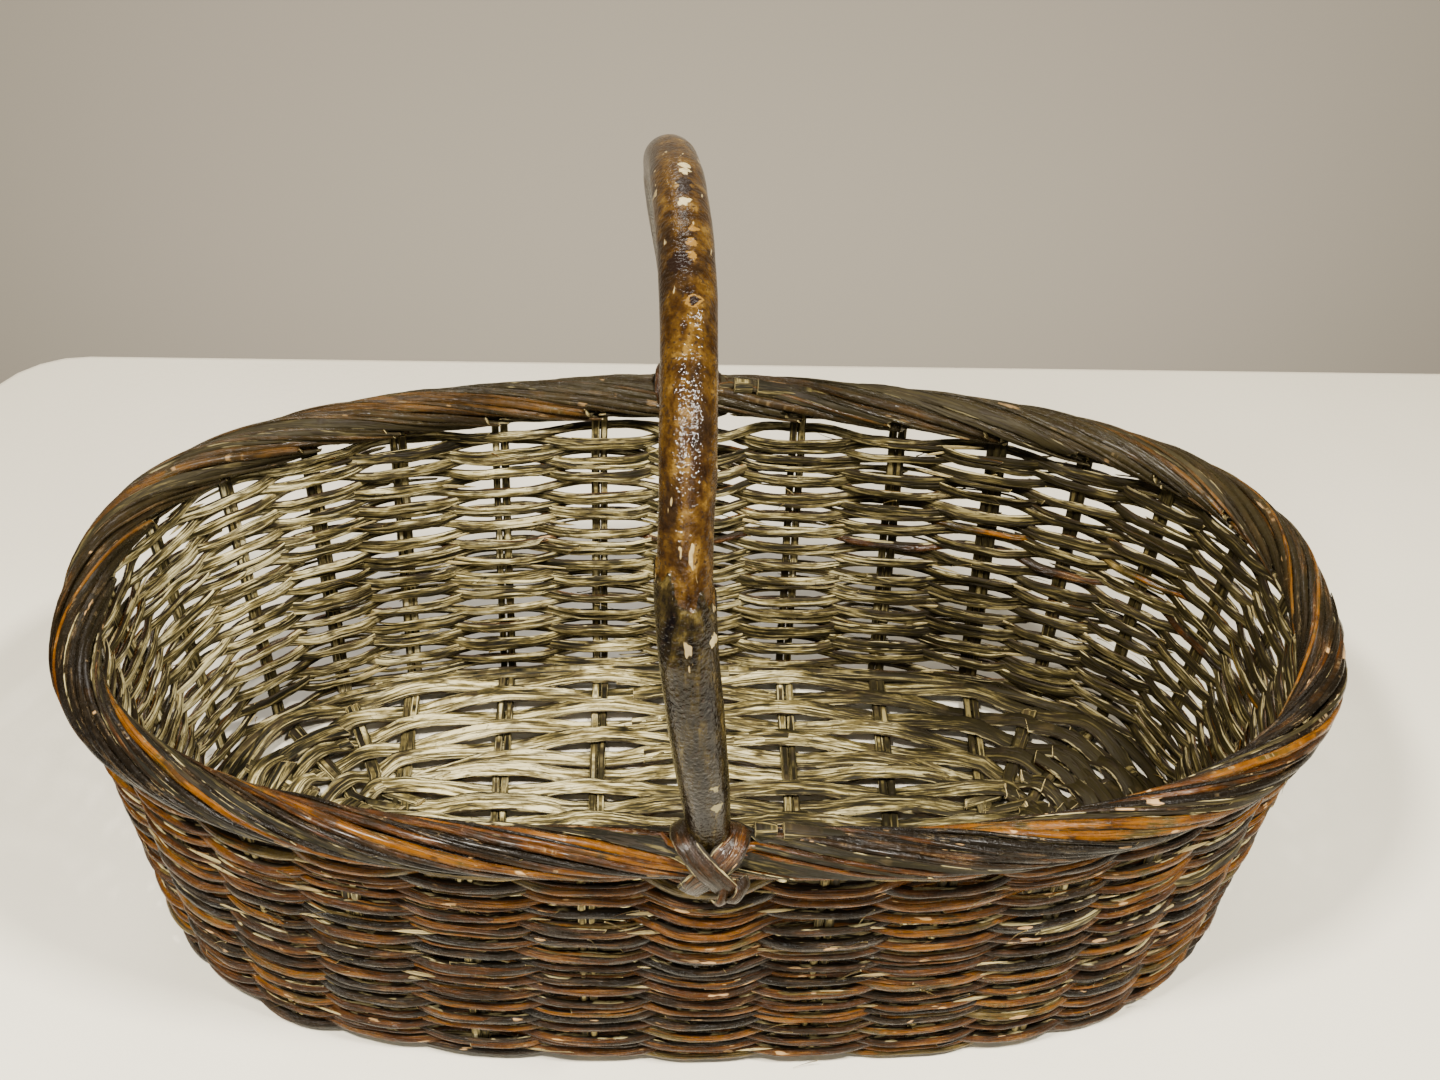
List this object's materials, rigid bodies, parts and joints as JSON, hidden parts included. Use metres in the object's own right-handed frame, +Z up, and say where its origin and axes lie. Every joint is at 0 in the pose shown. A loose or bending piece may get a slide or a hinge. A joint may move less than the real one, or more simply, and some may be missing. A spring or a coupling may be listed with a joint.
{
  "type": "winnowing basket",
  "caption": "Deep oval willow basket with flared woven sides, a rolled border, a woven stick base and one fixed bent-wood hoop handle lashed over the long sides.",
  "frame": {"origin": "on the resting plane, below the middle of the oval", "axes": "+X along the long axis, -Y towards the front, +Z up through the top of the handle"},
  "size_m": [0.66, 0.3742, 0.444],
  "materials": {
    "bow_wood": "varnished bark",
    "lashing_willow": "satin",
    "peg_wood": "matt",
    "border_willow": "varnished bark",
    "split_willow": "satin",
    "stake_willow": "matt",
    "lath_willow": "matt"
  },
  "bodies": {
    "root": {"handle_bow": "bow_wood", "handle_lashing_front": "lashing_willow", "handle_lashing_back": "lashing_willow", "handle_peg_front": "peg_wood", "handle_peg_back": "peg_wood", "border_rods_01": "border_willow", "border_rods_02": "border_willow", "border_rods_03": "border_willow", "border_rods_04": "border_willow", "border_rods_05": "border_willow", "border_rods_06": "border_willow", "border_rods_07": "border_willow", "border_rods_08": "border_willow", "border_rods_09": "border_willow", "border_rods_10": "border_willow", "weave_row_01": "split_willow", "weave_row_02": "split_willow", "weave_row_03": "split_willow", "weave_row_04": "split_willow", "weave_row_05": "split_willow", "weave_row_06": "split_willow", "weave_row_07": "split_willow", "weave_row_08": "split_willow", "weave_row_09": "split_willow", "stakes_front": "stake_willow", "stakes_right_end": "stake_willow", "stakes_back": "stake_willow", "stakes_left_end": "stake_willow", "foot_wale": "split_willow", "base_cross_sticks": "stake_willow", "base_fan_left": "stake_willow", "base_fan_right": "stake_willow", "base_laths": "lath_willow", "base_rows_right": "lath_willow", "base_rows_left": "lath_willow"}
  },
  "joints": []
}
